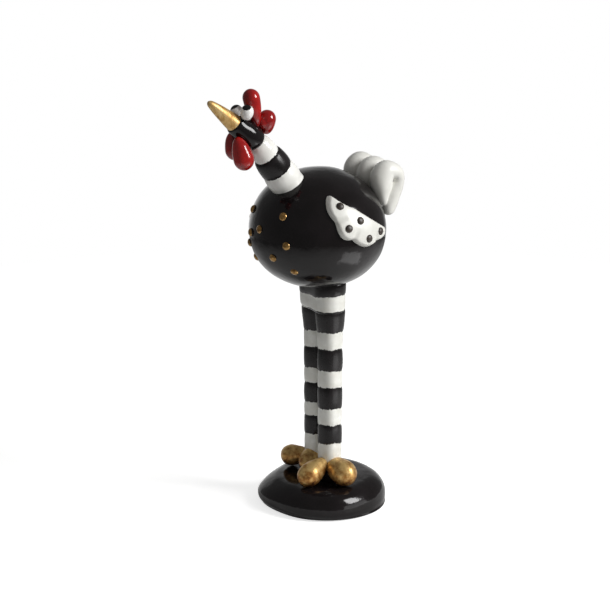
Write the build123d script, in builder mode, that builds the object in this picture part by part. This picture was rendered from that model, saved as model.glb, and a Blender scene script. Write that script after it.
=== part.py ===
from build123d import *
import os
from math import cos, radians, sin, sqrt

os.makedirs("parts", exist_ok=True)

# A long-legged rooster ornament of hand-modelled pieces, pegged and glued together.
# Millimetres. Z is up, the bird faces -Y and its left side is +X.
# The origin lies between the legs, on the surface that the ornament stands on.

# Fits
glue_gap = 0.15          # left between two faces that are glued together
peg_clearance = 0.15     # left round a peg, rod or dowel in its hole
peg_end_gap = 0.5        # left beyond the end of a peg in its hole

# Base: a flat pebble with a cork pad let into its underside
base_width = 72.0
base_depth = 73.0
base_height = 16.5
base_top_round = 11.0
base_foot_round = 4.0
cork_diameter = 50.0
cork_thickness = 1.5
cork_stand = 0.5         # how far the cork stands below the pebble

# Legs: banded tubes over steel rods, which run from the base up into the body
leg_length = 98.8
leg_foot_diameter = 12.3
leg_shank_diameter = 13.3
leg_top_diameter = 16.0
leg_flare_height = 22.0
leg_parting = 0.4        # between the two legs where they meet the hips
leg_turn = -5.0          # turn of the line of the legs, so that the right one stands a little behind
leg_band_count = 9
leg_band_bulge = 0.25
rod_diameter = 3.0
rod_in_base = 10.0
rod_in_body = 9.0

# Hips: one block that carries the body on both legs
hip_height = 14.0        # from the legs up to the lowest point of the body
hip_top_diameter = 18.4

# Toes: eggs on the base, fine end against the leg
toe_sink = 0.65          # how deep a toe is flattened where it rests on the base
# Name, leg, turn from straight ahead towards the bird's left, reach from the leg, downward lean,
# width, length of the blunt end, length of the fine end
toe_rows = (
    ("left_outer_toe", 1, 95.0, 15.0, 12.0, 14.4, 7.2, 10.0),
    ("left_inner_toe", 1, 16.0, 16.2, 15.0, 14.4, 8.0, 11.0),
    ("right_outer_toe", -1, -55.0, 14.2, 12.0, 12.8, 7.0, 10.0),
    ("right_inner_toe", -1, 50.0, 5.0, 50.0, 13.6, 7.0, 10.0),
)

# Body: a hollow oval ball with a thick floor over the hips
body_diameter = 76.0
body_rise = 34.2         # from its widest level up
body_drop = 32.3         # from its widest level down
body_forward = 3.0       # the body's middle lies this far ahead of the legs
body_wall = 6.0
body_floor = 14.0

# Studs: small domes with a shank, on the breast and on the wings
stud_diameter = 3.5
stud_height = 1.3
stud_shank_diameter = 1.6
stud_shank = 3.0
# Turn from the beak towards the left wing and height angle of each breast stud
breast_studs_at = (
    (25, 24), (-23, 21), (1, 8), (31, -2), (-15, 1), (-50, 6),
    (16, -17), (-27, -13), (35, -30), (-22, -27), (-45, -20),
)
wing_stud_diameter = 4.2
wing_stud_shank = 1.6
# Places of the wing studs on the wing's plane: towards the tail, up
wing_studs_at = ((-8.3, 10.3), (1.3, 0.7), (-6.6, -2.5), (6.0, -9.6), (15.5, -6.6))

# Wings: scalloped slabs that follow the body
wing_turn = 92.0
wing_latitude = 18.0
wing_thickness = 2.8
# Outline on the wing's plane, round from the upper tip: corners, and a point on the edge after each
wing_corners = ((-9.6, 16.9), (21.0, -4.4), (13.0, -11.5), (-4.3, -8.8), (-12.8, 2.1), (-11.6, 16.6))
wing_edges = ((1.2, 4.6), (20.4, -9.2), (4.2, -14.4), (-10.6, -6.4), (-14.7, 9.6), (-10.7, 17.3))
wing_peg_diameter = 2.6
wing_peg_depth = 4.0
wing_pegs_at = ((-3.0, 4.5), (9.5, -6.0))

# Tail: three looped feathers side by side
tail_spacing = 13.0
tail_seat_height = 15.4  # height of the tail's seat above the body's middle
tail_peg_diameter = 3.6
tail_peg_depth = 5.0
# Sections of a feather, from the lower tip up the back, over the top and down the front:
# behind the seat, above the seat, half thickness in the loop's plane, half width
tail_back_arm = (
    (8.4, -7.4, 2.3, 2.4),
    (10.8, -0.5, 3.7, 4.2),
    (12.1, 7.0, 4.4, 5.4),
    (10.2, 13.0, 4.9, 6.1),
)
tail_crown = (5.4, 15.2, 5.4, 6.3)
tail_front_arm = (
    (1.2, 11.5, 5.8, 6.3),
    (1.4, 5.6, 5.1, 5.8),
    (3.2, -0.2, 3.2, 4.2),
    (6.2, -5.4, 1.9, 2.2),
)

# Neck: three banded rings in one tapered piece that leans forward
neck_latitude = 57.5
neck_lean = 53.0
neck_bands = (8.5, 11.8, 10.0)
neck_base_diameter = 19.8
neck_top_diameter = 11.8
neck_band_bulge = 0.4
neck_spigot_diameter = 10.0
neck_spigot_length = 6.0
dowel_diameter = 3.0
dowel_in_neck = 12.0
dowel_in_head = 5.0

# Head and beak: a rounded barrel with a cone on its front
head_lean = 39.9
head_length = 18.3
head_diameter = 12.2
head_front_diameter = 10.6
head_round = 6.0
head_seat = 2.0          # how far the round back of the head sits in the neck
beak_length = 22.9
beak_diameter = 9.2
beak_bulge = 0.6         # how far the cone's side swells at half its length
beak_tip_radius = 2.0
beak_spigot_diameter = 4.0
beak_spigot_length = 5.0

# Eyes: upright eggs side by side on the front of the head
eye_width = 7.2
eye_blunt = 4.4
eye_fine = 5.4
eye_spread = 34.0        # turn of an eye from the top of the head to its side
eye_stand = 3.9          # from the head's skin to the eye's middle
eye_ahead = 2.0          # how far the eye's middle lies ahead of the head's front face
eye_splay = 15.0

# Comb: two drops on the crown of the head, placed along the head from the neck and up from its axis
front_lobe_width = 9.8
front_lobe_blunt = 5.5
front_lobe_fine = 17.0
front_lobe_lean = 12.0
front_lobe_along = 4.8
front_lobe_rise = 5.8
rear_lobe_width = 9.4
rear_lobe_blunt = 5.0
rear_lobe_fine = 7.8
rear_lobe_lean = 4.0
rear_lobe_along = 2.4
rear_lobe_rise = 13.4

# Wattles: two drops below the beak
wattle_spacing = 13.0
wattle_along = 5.4
wattle_rake = 14.0
wattle_splay = 8.0
# Name, side, drop below the head's axis, width, length of the blunt end, length of the fine end
wattle_rows = (
    ("left_wattle", 1, 12.9, 10.8, 6.4, 12.6),
    ("right_wattle", -1, 9.2, 10.0, 5.8, 10.4),
)

# Places worked out from the sizes
UP = Vector(0, 0, 1)
OVAL = 4 / 3 * (sqrt(2) - 1)  # handle length that bends a curve into a quarter oval
leg_spacing = leg_top_diameter + leg_parting
leg_top = base_height + leg_length
body_radius = body_diameter / 2
body_centre = Vector(0, -body_forward, leg_top + hip_height + body_drop)
neck_length = sum(neck_bands)


def tilted(lean):
    """Direction in the bird's middle plane, at an angle above straight ahead."""
    return Vector(0, -cos(radians(lean)), sin(radians(lean)))


def body_half(height):
    """Height of the body's upper or lower half, whichever a height lies in."""
    return body_rise if height >= body_centre.Z else body_drop


def on_body(turn, latitude):
    """Point on the body, by turn from the beak towards the left and by height angle."""
    around = body_radius * cos(radians(latitude))
    rise = body_half(body_centre.Z + latitude) * sin(radians(latitude))
    return body_centre + Vector(around * sin(radians(turn)), -around * cos(radians(turn)), rise)


def body_normal(point):
    """Outward direction of the body's skin at a point on it."""
    arm = point - body_centre
    tall = body_half(point.Z)
    return Vector(arm.X / body_radius**2, arm.Y / body_radius**2, arm.Z / tall**2).normalized()


def reach_oval(point, direction, wide, tall):
    """Where a line from a point outside first meets an oval ball at the body's middle."""
    start = point - body_centre
    start = Vector(start.X / wide, start.Y / wide, start.Z / tall)
    run = Vector(direction.X / wide, direction.Y / wide, direction.Z / tall)
    half_b = start.dot(run)
    root = sqrt(half_b**2 - run.dot(run) * (start.dot(start) - 1))
    return point + direction * ((-half_b - root) / run.dot(run))


def reach_body(point, direction, stand=0.0):
    """Where a line from a point outside first meets the body, grown by a stand."""
    upper = reach_oval(point, direction, body_radius + stand, body_rise + stand)
    lower = reach_oval(point, direction, body_radius + stand, body_drop + stand)
    return upper if upper.Z >= body_centre.Z else lower


def turning_plane(origin, axis):
    """Sketch plane with its upright along an axis, for a profile turned about it."""
    across = Plane(origin=origin, z_dir=axis)
    return Plane(origin=origin, x_dir=across.x_dir, z_dir=across.x_dir.cross(across.z_dir))


def round_bar(start, end, diameter):
    """Round bar between two points, for rods, pegs and their holes."""
    with BuildPart() as bar:
        with BuildSketch(Plane(origin=start, z_dir=end - start)):
            Circle(diameter / 2)
        extrude(amount=(end - start).length)
    return bar.part


def peg_and_hole(start, seat, inward, depth, diameter):
    """Peg from a start inside its piece to a depth below the seat, and the hole that takes it."""
    peg = round_bar(start, seat + inward * depth, diameter)
    hole = round_bar(start, seat + inward * (depth + peg_end_gap), diameter + 2 * peg_clearance)
    return peg, hole


def quarter_oval(start, corner, end):
    """Control points of a quarter oval between two points, rounding the corner they enclose."""
    leave = tuple(s + OVAL * (c - s) for s, c in zip(start, corner))
    arrive = tuple(e + OVAL * (c - e) for e, c in zip(end, corner))
    return start, leave, arrive, end


def turned(profile, origin, axis):
    """Solid of a profile turned about an axis, as two half turns."""
    with BuildPart() as form:
        for half_turn in (180, -180):
            revolve(profile.sketch, Axis(origin, axis), half_turn, clean=False)
    return form.part


def egg(centre, axis, width, blunt, fine, grow=0.0):
    """Turned egg with its blunt end along the axis, widest at the centre."""
    side, top, foot = width / 2 + grow, blunt + grow, -fine - grow
    with BuildSketch(turning_plane(centre, axis)) as profile:
        with BuildLine():
            Bezier(*quarter_oval((0, foot), (side, foot), (side, 0)))
            Bezier(*quarter_oval((side, 0), (side, top), (0, top)))
            Line((0, top), (0, foot))
        make_face()
    return turned(profile, centre, axis)


def body_form(grow):
    """The body's outer form, grown all round."""
    return egg(body_centre, UP, body_diameter, body_rise, body_drop, grow)


def finish(piece, name):
    """Label a finished piece and write it as its own file."""
    piece.part.label = name
    export_step(piece.part, f"parts/{name}.step")


# Base and cork pad
leg_line = Vector(cos(radians(leg_turn)), sin(radians(leg_turn)), 0)
leg_feet = {side: UP * base_height + leg_line * side * leg_spacing / 2 for side in (1, -1)}

with BuildPart() as base_stone:
    with BuildSketch(Plane.XY.offset(cork_stand)):
        Ellipse(base_width / 2, base_depth / 2)
    extrude(amount=base_height - cork_stand)
    fillet(base_stone.edges().group_by(Axis.Z)[-1], base_top_round)
    fillet(base_stone.edges().group_by(Axis.Z)[0], base_foot_round)
    with BuildSketch(Plane.XY.offset(cork_stand)):
        Circle(cork_diameter / 2 + peg_clearance)
    extrude(amount=cork_thickness - cork_stand, mode=Mode.SUBTRACT)
    with Locations(*leg_feet.values()):
        Hole(rod_diameter / 2 + peg_clearance, rod_in_base + peg_end_gap)
finish(base_stone, "base_stone")

with BuildPart() as cork_pad:
    with BuildSketch():
        Circle(cork_diameter / 2)
    extrude(amount=cork_thickness)
finish(cork_pad, "cork_pad")


# Legs and their rods
def leg_radius(height):
    """Radius of a leg at a height above the base: a slow taper, then a flare to the hips."""
    taper = (leg_shank_diameter - leg_foot_diameter) * height / leg_length
    rise = max(0.0, height - leg_length + leg_flare_height) / leg_flare_height
    flare = (leg_top_diameter - leg_shank_diameter) * rise**2
    return (leg_foot_diameter + taper + flare) / 2


def leg_form(side, grow):
    """One leg, turned about its rod, with a slight swell in each band."""
    band = leg_length / leg_band_count
    with BuildSketch(turning_plane(leg_feet[side], UP)) as profile:
        with BuildLine():
            Line((0, 0), (leg_radius(0) + grow, 0))
            for number in range(leg_band_count):
                low, middle, high = number * band, (number + 0.5) * band, (number + 1) * band
                ThreePointArc(
                    (leg_radius(low) + grow, low),
                    (leg_radius(middle) + leg_band_bulge + grow, middle),
                    (leg_radius(high) + grow, high),
                )
            Polyline((leg_radius(leg_length) + grow, leg_length), (0, leg_length), (0, 0))
        make_face()
    return turned(profile, leg_feet[side], UP)


rods = {}
rod_holes = {}
for side in (1, -1):
    rod_foot = leg_feet[side] - UP * rod_in_base
    rod_seat = reach_body(leg_feet[side], UP)
    rods[side], rod_holes[side] = peg_and_hole(rod_foot, rod_seat, UP, rod_in_body, rod_diameter)

leg_rooms = [leg_form(side, glue_gap) for side in (1, -1)]

for side, hand in ((1, "left"), (-1, "right")):
    bare_leg = leg_form(side, 0)
    with BuildPart() as leg:
        add(bare_leg)
        add(rod_holes[side], mode=Mode.SUBTRACT)
    finish(leg, f"{hand}_leg")

    with BuildPart() as leg_rod:
        add(rods[side])
    finish(leg_rod, f"{hand}_leg_rod")

# Hips, dished on top to carry the body
body_room = body_form(glue_gap)
hip_reach = leg_spacing / 2 + hip_top_diameter / 2 + body_forward
hip_rim = reach_body(Vector(hip_reach, -body_forward, 0), UP).Z

with BuildPart() as hip_yoke:
    with BuildSketch(Plane.XY.offset(leg_top)):
        SlotCenterToCenter(leg_spacing, leg_top_diameter, rotation=leg_turn)
    with BuildSketch(Plane.XY.offset(hip_rim)):
        SlotCenterToCenter(leg_spacing, hip_top_diameter, rotation=leg_turn)
    loft()
    add(body_room, mode=Mode.SUBTRACT)
    add(list(rod_holes.values()), mode=Mode.SUBTRACT)
finish(hip_yoke, "hip_yoke")


# Toes, flat where they rest on the base
with BuildPart() as base_room:
    with BuildSketch(Plane.XY.offset(base_height + glue_gap)):
        Rectangle(2 * base_width, 2 * base_depth)
    extrude(amount=-base_height)

toe_rooms = []
for name, side, turn, reach, lean, width, blunt, fine in toe_rows:
    ahead = Vector(sin(radians(turn)), -cos(radians(turn)), 0)
    toe_axis = ahead * cos(radians(lean)) - UP * sin(radians(lean))
    toe_depth = sqrt((width / 2 * cos(radians(lean))) ** 2 + (blunt * sin(radians(lean))) ** 2)
    toe_middle = leg_feet[side] + ahead * reach + UP * (toe_depth - toe_sink)
    bare_toe = egg(toe_middle, toe_axis, width, blunt, fine)
    with BuildPart() as toe:
        add(bare_toe)
        add([base_room.part] + leg_rooms + toe_rooms, mode=Mode.SUBTRACT)
    finish(toe, name)
    toe_rooms.append(egg(toe_middle, toe_axis, width, blunt, fine, glue_gap))


# Studs
def stud(place, diameter, shank):
    """Stud on the skin at a place: a low dome over its shank."""
    outward = body_normal(place)
    foot = place + outward * glue_gap
    edge, waist = diameter / 2, stud_shank_diameter / 2
    with BuildSketch(turning_plane(foot, outward)) as profile:
        with BuildLine():
            Bezier(*quarter_oval((edge, 0), (edge, stud_height), (0, stud_height)))
            Polyline((0, stud_height), (0, -shank), (waist, -shank), (waist, 0), (edge, 0))
        make_face()
    return turned(profile, foot, outward)


def stud_hole(place, shank):
    """Hole under a stud for its shank."""
    outward = body_normal(place)
    bottom = place - outward * (shank + peg_end_gap)
    return round_bar(bottom, place + outward * stud_height, stud_shank_diameter + 2 * peg_clearance)


breast_places = [on_body(turn, latitude) for turn, latitude in breast_studs_at]
body_holes = [stud_hole(place, stud_shank) for place in breast_places]
loose_breast_studs = [stud(place, stud_diameter, stud_shank) for place in breast_places]

with BuildPart() as breast_studs:
    add(loose_breast_studs)
finish(breast_studs, "breast_studs")

# Wings with their studs, the right side as the mirror of the left
wing_middle = on_body(wing_turn, wing_latitude)
wing_out = body_normal(wing_middle)
wing_plane = Plane(origin=wing_middle, x_dir=UP.cross(wing_out), z_dir=wing_out)
wing_skin = body_form(glue_gap + wing_thickness)

wing_pegs = []
for across, rise in wing_pegs_at:
    above = wing_plane.from_local_coords(Vector(across, rise, body_radius))
    seat = reach_body(above, -wing_out)
    peg, hole = peg_and_hole(
        seat + wing_out * wing_thickness / 2, seat, -wing_out, wing_peg_depth, wing_peg_diameter
    )
    wing_pegs.append(peg)
    body_holes += [hole, mirror(hole, about=Plane.YZ)]

wing_stud_places = []
for across, rise in wing_studs_at:
    above = wing_plane.from_local_coords(Vector(across, rise, body_radius))
    wing_stud_places.append(reach_body(above, -wing_out, glue_gap + wing_thickness))
wing_stud_holes = [stud_hole(place, wing_stud_shank) for place in wing_stud_places]
loose_wing_studs = [stud(place, wing_stud_diameter, wing_stud_shank) for place in wing_stud_places]

with BuildPart() as left_wing:
    with BuildSketch(wing_plane):
        with BuildLine():
            for start, edge, end in zip(wing_corners, wing_edges, wing_corners[1:] + wing_corners[:1]):
                ThreePointArc(start, edge, end)
        make_face()
    extrude(amount=body_radius / 2, both=True)
    add(wing_skin, mode=Mode.INTERSECT)
    add(body_room, mode=Mode.SUBTRACT)
    add(wing_pegs)
    add(wing_stud_holes, mode=Mode.SUBTRACT)
finish(left_wing, "left_wing")

with BuildPart() as right_wing:
    mirror(left_wing.part, about=Plane.YZ)
finish(right_wing, "right_wing")

with BuildPart() as left_wing_studs:
    add(loose_wing_studs)
finish(left_wing_studs, "left_wing_studs")

with BuildPart() as right_wing_studs:
    mirror(left_wing_studs.part, about=Plane.YZ)
finish(right_wing_studs, "right_wing_studs")

# Tail feathers, seated together where the outer two meet the body
tail_height = body_centre.Z + tail_seat_height
tail_seat = reach_body(Vector(tail_spacing, body_diameter, tail_height), Vector(0, -1, 0))


def feather_section(across, rows, number):
    """Oval section of a feather, square to the line of its neighbours."""
    behind, rise, half_thick, half_wide = rows[number]
    last = rows[max(number - 1, 0)]
    following = rows[min(number + 1, len(rows) - 1)]
    run = Vector(0, following[0] - last[0], following[1] - last[1])
    middle = Vector(across, tail_seat.Y + behind, tail_height + rise)
    with BuildSketch(Plane(origin=middle, x_dir=(1, 0, 0), z_dir=run)) as section:
        Ellipse(half_wide, half_thick)
    return section.sketch


tail_rows = tail_back_arm + (tail_crown,) + tail_front_arm
crown_number = len(tail_back_arm)
tail_inward = Vector(0, body_centre.Y - tail_seat.Y, body_centre.Z - tail_height).normalized()
root_row = tail_front_arm[-2]

for name, place in (("left", 1), ("middle", 0), ("right", -1)):
    across = place * tail_spacing
    sections = [feather_section(across, tail_rows, number) for number in range(len(tail_rows))]
    tail_root = Vector(across, tail_seat.Y + root_row[0], tail_height + root_row[1])
    seat = reach_body(tail_root - tail_inward * body_diameter, tail_inward)
    tail_peg, tail_hole = peg_and_hole(tail_root, seat, tail_inward, tail_peg_depth, tail_peg_diameter)
    body_holes.append(tail_hole)
    with BuildPart() as feather:
        loft(sections[: crown_number + 1])
        loft(sections[crown_number:])
        add(body_room, mode=Mode.SUBTRACT)
        add(tail_peg)
    finish(feather, f"{name}_tail_feather")

# Neck, head and beak
neck_seat = on_body(0, neck_latitude)
neck_axis = tilted(neck_lean)
neck_top = neck_seat + neck_axis * neck_length
head_axis = tilted(head_lean)
head_up = tilted(head_lean + 90)
head_back = neck_top - head_axis * head_seat
head_front = head_back + head_axis * head_length


def neck_radius(distance):
    """Radius of the neck at a distance from the body: an even taper."""
    return (neck_base_diameter + (neck_top_diameter - neck_base_diameter) * distance / neck_length) / 2


def neck_form(grow):
    """The neck before its ends are dished: three swelling bands."""
    root = -neck_base_diameter / 2
    rim = neck_length + head_seat
    with BuildSketch(turning_plane(neck_seat, neck_axis)) as profile:
        with BuildLine():
            Polyline((0, root), (neck_radius(root) + grow, root), (neck_radius(0) + grow, 0))
            low = 0.0
            for band in neck_bands:
                middle, high = low + band / 2, low + band
                ThreePointArc(
                    (neck_radius(low) + grow, low),
                    (neck_radius(middle) + neck_band_bulge + grow, middle),
                    (neck_radius(high) + grow, high),
                )
                low = high
            Line((neck_radius(neck_length) + grow, neck_length), (neck_radius(rim) + grow, rim))
            Polyline((neck_radius(rim) + grow, rim), (0, rim), (0, root))
        make_face()
    return turned(profile, neck_seat, neck_axis)


def head_form(grow):
    """The head: round at the back, tapering to a flat front."""
    side, front = head_diameter / 2 + grow, head_length + grow
    with BuildSketch(turning_plane(head_back, head_axis)) as profile:
        with BuildLine():
            Bezier(*quarter_oval((0, -grow), (side, -grow), (side, head_round)))
            Polyline((side, head_round), (head_front_diameter / 2 + grow, front), (0, front), (0, -grow))
        make_face()
    return turned(profile, head_back, head_axis)


def beak_form(grow):
    """The beak: a cone with a round tip."""
    seat = head_front + head_axis * (glue_gap - grow)
    shoulder, tip = beak_length - beak_tip_radius + grow, beak_length + 2 * grow
    edge, end = beak_diameter / 2 + grow, beak_tip_radius + grow
    with BuildSketch(turning_plane(seat, head_axis)) as profile:
        with BuildLine():
            ThreePointArc((edge, 0), ((edge + end) / 2 + beak_bulge, shoulder / 2), (end, shoulder))
            Bezier(*quarter_oval((end, shoulder), (end, tip), (0, tip)))
            Polyline((0, tip), (0, 0), (edge, 0))
        make_face()
    return turned(profile, seat, head_axis)


neck_spigot, neck_hole = peg_and_hole(
    neck_seat + neck_axis * neck_base_diameter / 4,
    neck_seat, -neck_axis, neck_spigot_length, neck_spigot_diameter,
)
dowel_foot = neck_top - neck_axis * dowel_in_neck
dowel, dowel_hole = peg_and_hole(dowel_foot, neck_top, neck_axis, dowel_in_head, dowel_diameter)
beak_spigot, beak_hole = peg_and_hole(
    head_front + head_axis * beak_spigot_length,
    head_front, -head_axis, beak_spigot_length, beak_spigot_diameter,
)
body_holes.append(neck_hole)

bare_neck = neck_form(0)
head_room = head_form(glue_gap)
with BuildPart() as neck:
    add(bare_neck)
    add([body_room, head_room], mode=Mode.SUBTRACT)
    add(neck_spigot)
    add(dowel_hole, mode=Mode.SUBTRACT)
finish(neck, "neck")

with BuildPart() as neck_dowel:
    add(dowel)
finish(neck_dowel, "neck_dowel")

bare_head = head_form(0)
with BuildPart() as head:
    add(bare_head)
    add([dowel_hole, beak_hole], mode=Mode.SUBTRACT)
finish(head, "head")

bare_beak = beak_form(0)
with BuildPart() as beak:
    add(bare_beak)
    add(beak_spigot)
finish(beak, "beak")

# Comb, dished over the head and the neck
front_lobe_axis = tilted(90 - front_lobe_lean)
front_lobe_foot = neck_top + head_axis * front_lobe_along + head_up * front_lobe_rise
front_lobe_middle = front_lobe_foot + front_lobe_axis * front_lobe_fine
front_lobe_size = (front_lobe_width, front_lobe_blunt, front_lobe_fine)
front_lobe = egg(front_lobe_middle, front_lobe_axis, *front_lobe_size)
front_lobe_room = egg(front_lobe_middle, front_lobe_axis, *front_lobe_size, glue_gap)
neck_room = neck_form(glue_gap)

with BuildPart() as front_comb_lobe:
    add(front_lobe)
    add([head_room, neck_room], mode=Mode.SUBTRACT)
finish(front_comb_lobe, "front_comb_lobe")

rear_lobe_middle = neck_top + head_axis * rear_lobe_along + head_up * rear_lobe_rise
rear_lobe_axis = tilted(90 + rear_lobe_lean)
rear_lobe = egg(rear_lobe_middle, rear_lobe_axis, rear_lobe_width, rear_lobe_blunt, rear_lobe_fine)
with BuildPart() as rear_comb_lobe:
    add(rear_lobe)
    add([head_room, neck_room, front_lobe_room], mode=Mode.SUBTRACT)
finish(rear_comb_lobe, "rear_comb_lobe")

# Eyes and wattles, one of each on either side
beak_room = beak_form(glue_gap)
eye_distance = head_front_diameter / 2 + eye_stand

for side, hand in ((1, "left"), (-1, "right")):
    eye_side = Vector(side * sin(radians(eye_spread)), 0, 0)
    eye_middle = head_front + head_axis * eye_ahead
    eye_middle += (head_up * cos(radians(eye_spread)) + eye_side) * eye_distance
    eye_axis = Vector(side * sin(radians(eye_splay)), 0, cos(radians(eye_splay)))
    bare_eye = egg(eye_middle, eye_axis, eye_width, eye_blunt, eye_fine)
    with BuildPart() as eye:
        add(bare_eye)
        add([head_room, beak_room, front_lobe_room], mode=Mode.SUBTRACT)
    finish(eye, f"{hand}_eye")

for name, side, drop, width, blunt, fine in wattle_rows:
    wattle_middle = neck_top + head_axis * wattle_along - head_up * drop
    wattle_middle += Vector(side * wattle_spacing / 2, 0, 0)
    wattle_axis = Vector(side * sin(radians(wattle_splay)), 0, 0) + tilted(-90 - wattle_rake)
    bare_wattle = egg(wattle_middle, wattle_axis, width, blunt, fine)
    with BuildPart() as wattle:
        add(bare_wattle)
        add([head_room, beak_room, neck_room], mode=Mode.SUBTRACT)
    finish(wattle, name)

# Body, with holes for every peg that enters it
bare_body = body_form(0)
inner_form = body_form(-body_wall)
with BuildPart() as cavity:
    add(inner_form)
    split(bisect_by=Plane.XY.offset(body_centre.Z - body_drop + body_floor), keep=Keep.TOP)

with BuildPart() as body_shell:
    add(bare_body)
    add(cavity.part, mode=Mode.SUBTRACT)
    add(body_holes + list(rod_holes.values()), mode=Mode.SUBTRACT)
finish(body_shell, "body_shell")
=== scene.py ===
# %% [markdown]
# # A long-legged rooster in glazed clay
# The ornament is a black clay ball on two striped legs, with a leaning striped neck, a gold beak, a red
# comb and a white tail. Its solids are ready: they give every size and place. Here each piece is modelled
# again as the soft, hand-pressed thing that it is, and gets its glaze.

# %% Load the solids
import math

import bmesh
import bpy
from mathutils import Matrix, Vector, geometry, noise


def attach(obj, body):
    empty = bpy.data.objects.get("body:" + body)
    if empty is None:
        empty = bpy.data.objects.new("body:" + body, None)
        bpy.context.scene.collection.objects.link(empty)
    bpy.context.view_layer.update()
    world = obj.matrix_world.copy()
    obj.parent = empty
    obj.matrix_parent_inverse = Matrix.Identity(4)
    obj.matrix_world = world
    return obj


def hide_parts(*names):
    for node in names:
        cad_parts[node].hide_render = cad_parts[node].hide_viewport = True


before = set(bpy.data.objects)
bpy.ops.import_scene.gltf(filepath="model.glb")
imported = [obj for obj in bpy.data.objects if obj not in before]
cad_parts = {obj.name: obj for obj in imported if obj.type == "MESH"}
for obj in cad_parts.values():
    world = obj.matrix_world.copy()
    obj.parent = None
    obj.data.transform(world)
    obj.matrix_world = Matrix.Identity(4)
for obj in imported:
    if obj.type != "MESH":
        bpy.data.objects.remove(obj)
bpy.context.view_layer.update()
MM = 0.001


# %% [markdown]
# ## Colours and nodes
# Colours are noted as the hex codes that a screen shows. Blender's shaders work in linear light, so one
# function turns a code into linear numbers. A second small function adds any shader node, sets its
# properties and fills its sockets, either with a value or with a link from an earlier node.


# %% Colour and node helpers
def linear(code):
    """Linear colour of a hex code such as #a1834d."""
    shares = [int(code[i:i + 2], 16) / 255 for i in (1, 3, 5)]
    return tuple(c / 12.92 if c <= 0.04045 else ((c + 0.055) / 1.055) ** 2.4 for c in shares) + (1.0,)


def add_node(tree, kind, sockets=None, **settings):
    """One shader node with its settings; each socket takes a value or a link."""
    made = tree.nodes.new(kind)
    for name, value in settings.items():
        setattr(made, name, value)
    for name, value in (sockets or {}).items():
        if isinstance(value, bpy.types.NodeSocket):
            tree.links.new(value, made.inputs[name])
        else:
            made.inputs[name].default_value = value
    return made


def new_material(name):
    """Empty node material."""
    material = bpy.data.materials.new(name)
    material.use_nodes = True
    material.node_tree.nodes.clear()
    return material


print("mid grey in linear light:", round(linear("#808080")[0], 3))

# %% [markdown]
# ## Glaze
# A fired glaze is a thin layer of coloured glass over clay. It is smooth enough to mirror a window, but it
# has pooled unevenly: the tone drifts over a centimetre or so, the shine varies with it, and the skin rolls
# in ripples that bend the reflections. One noise pattern gives tone and shine, and a second one the
# ripples. One function makes every glaze of the bird, since they differ only in tone and in how quiet they
# are.


# %% Make the glazes
def glaze(name, deep, pale, drift_mm, roughness, ripple_mm, ripple_depth_mm, bending=1.5):
    """Glossy ceramic glaze whose tone drifts between two colours."""
    material = new_material(name)
    tree = material.node_tree
    place = add_node(tree, "ShaderNodeTexCoord").outputs["Object"]
    drift = add_node(tree, "ShaderNodeTexNoise",
                     {"Vector": place, "Scale": 1 / (drift_mm * MM), "Detail": 3.0, "Roughness": 0.55})
    tone = add_node(tree, "ShaderNodeValToRGB", {"Fac": drift.outputs["Fac"]})
    tone.color_ramp.elements[0].position = 0.35
    tone.color_ramp.elements[0].color = linear(deep)
    tone.color_ramp.elements[1].position = 0.65
    tone.color_ramp.elements[1].color = linear(pale)
    shine = add_node(tree, "ShaderNodeMapRange",
                     {"Value": drift.outputs["Fac"], "To Min": roughness * 0.7, "To Max": roughness * 1.4})
    ripple = add_node(tree, "ShaderNodeTexNoise",
                      {"Vector": place, "Scale": 1 / (ripple_mm * MM), "Detail": 3.0})
    relief = add_node(tree, "ShaderNodeBump",
                      {"Height": ripple.outputs["Fac"], "Distance": ripple_depth_mm * MM, "Strength": 0.6})
    skin = add_node(tree, "ShaderNodeBsdfPrincipled",
                    {"Base Color": tone.outputs["Color"], "Roughness": shine.outputs["Result"],
                     "Normal": relief.outputs["Normal"], "IOR": bending})
    add_node(tree, "ShaderNodeOutputMaterial", {"Surface": skin.outputs["BSDF"]})
    return material


# Each glaze: deep and pale tone, drift in mm, roughness, ripples in mm and their depth in mm.
# Deep black: nearly all that the eye sees of it is reflection. Its coat is soft and waxy, so it bends light
# less than window glass does and mirrors the room more quietly.
black_glaze = glaze("black_ceramic_glaze", "#110e0e", "#181415", 14, 0.12, 7, 0.4, bending=1.36)
# The same black on the head, where it lies smoother and gives one clean streak of light.
head_glaze = glaze("smooth_black_head_glaze", "#110e0e", "#181415", 14, 0.12, 9, 0.05, bending=1.36)
# Black brushed over white on legs and neck: a little thinner and greyer than the body's glaze.
black_band_glaze = glaze("brushed_black_band_glaze", "#131111", "#1b1718", 5, 0.26, 4, 0.05, bending=1.33)
# Warm white with faint grey pooling.
white_band_glaze = glaze("brushed_white_band_glaze", "#dcdbd3", "#e9e9e3", 6, 0.24, 4, 0.08)
white_glaze = glaze("warm_white_ceramic_glaze", "#e4e3dd", "#efeee9", 10, 0.18, 7, 0.08)
ivory_glaze = glaze("ivory_ceramic_glaze", "#d6d5ce", "#e2e1db", 10, 0.3, 6, 0.2)
eye_white_glaze = glaze("eye_white_ceramic_glaze", "#eceae6", "#f4f3f0", 3, 0.12, 4, 0.03)
# Deep red that goes brighter where it runs thin.
red_glaze = glaze("deep_red_ceramic_glaze", "#7c0e10", "#a31b18", 9, 0.12, 9, 0.015)
# The dark studs of the wings, with a brown cast and little shine.
stud_glaze = glaze("black_brown_stud_glaze", "#241f1c", "#41362d", 2, 0.42, 2, 0.03)
print("glazes:", [m.name for m in bpy.data.materials if m.name.endswith("_glaze")])

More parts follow.
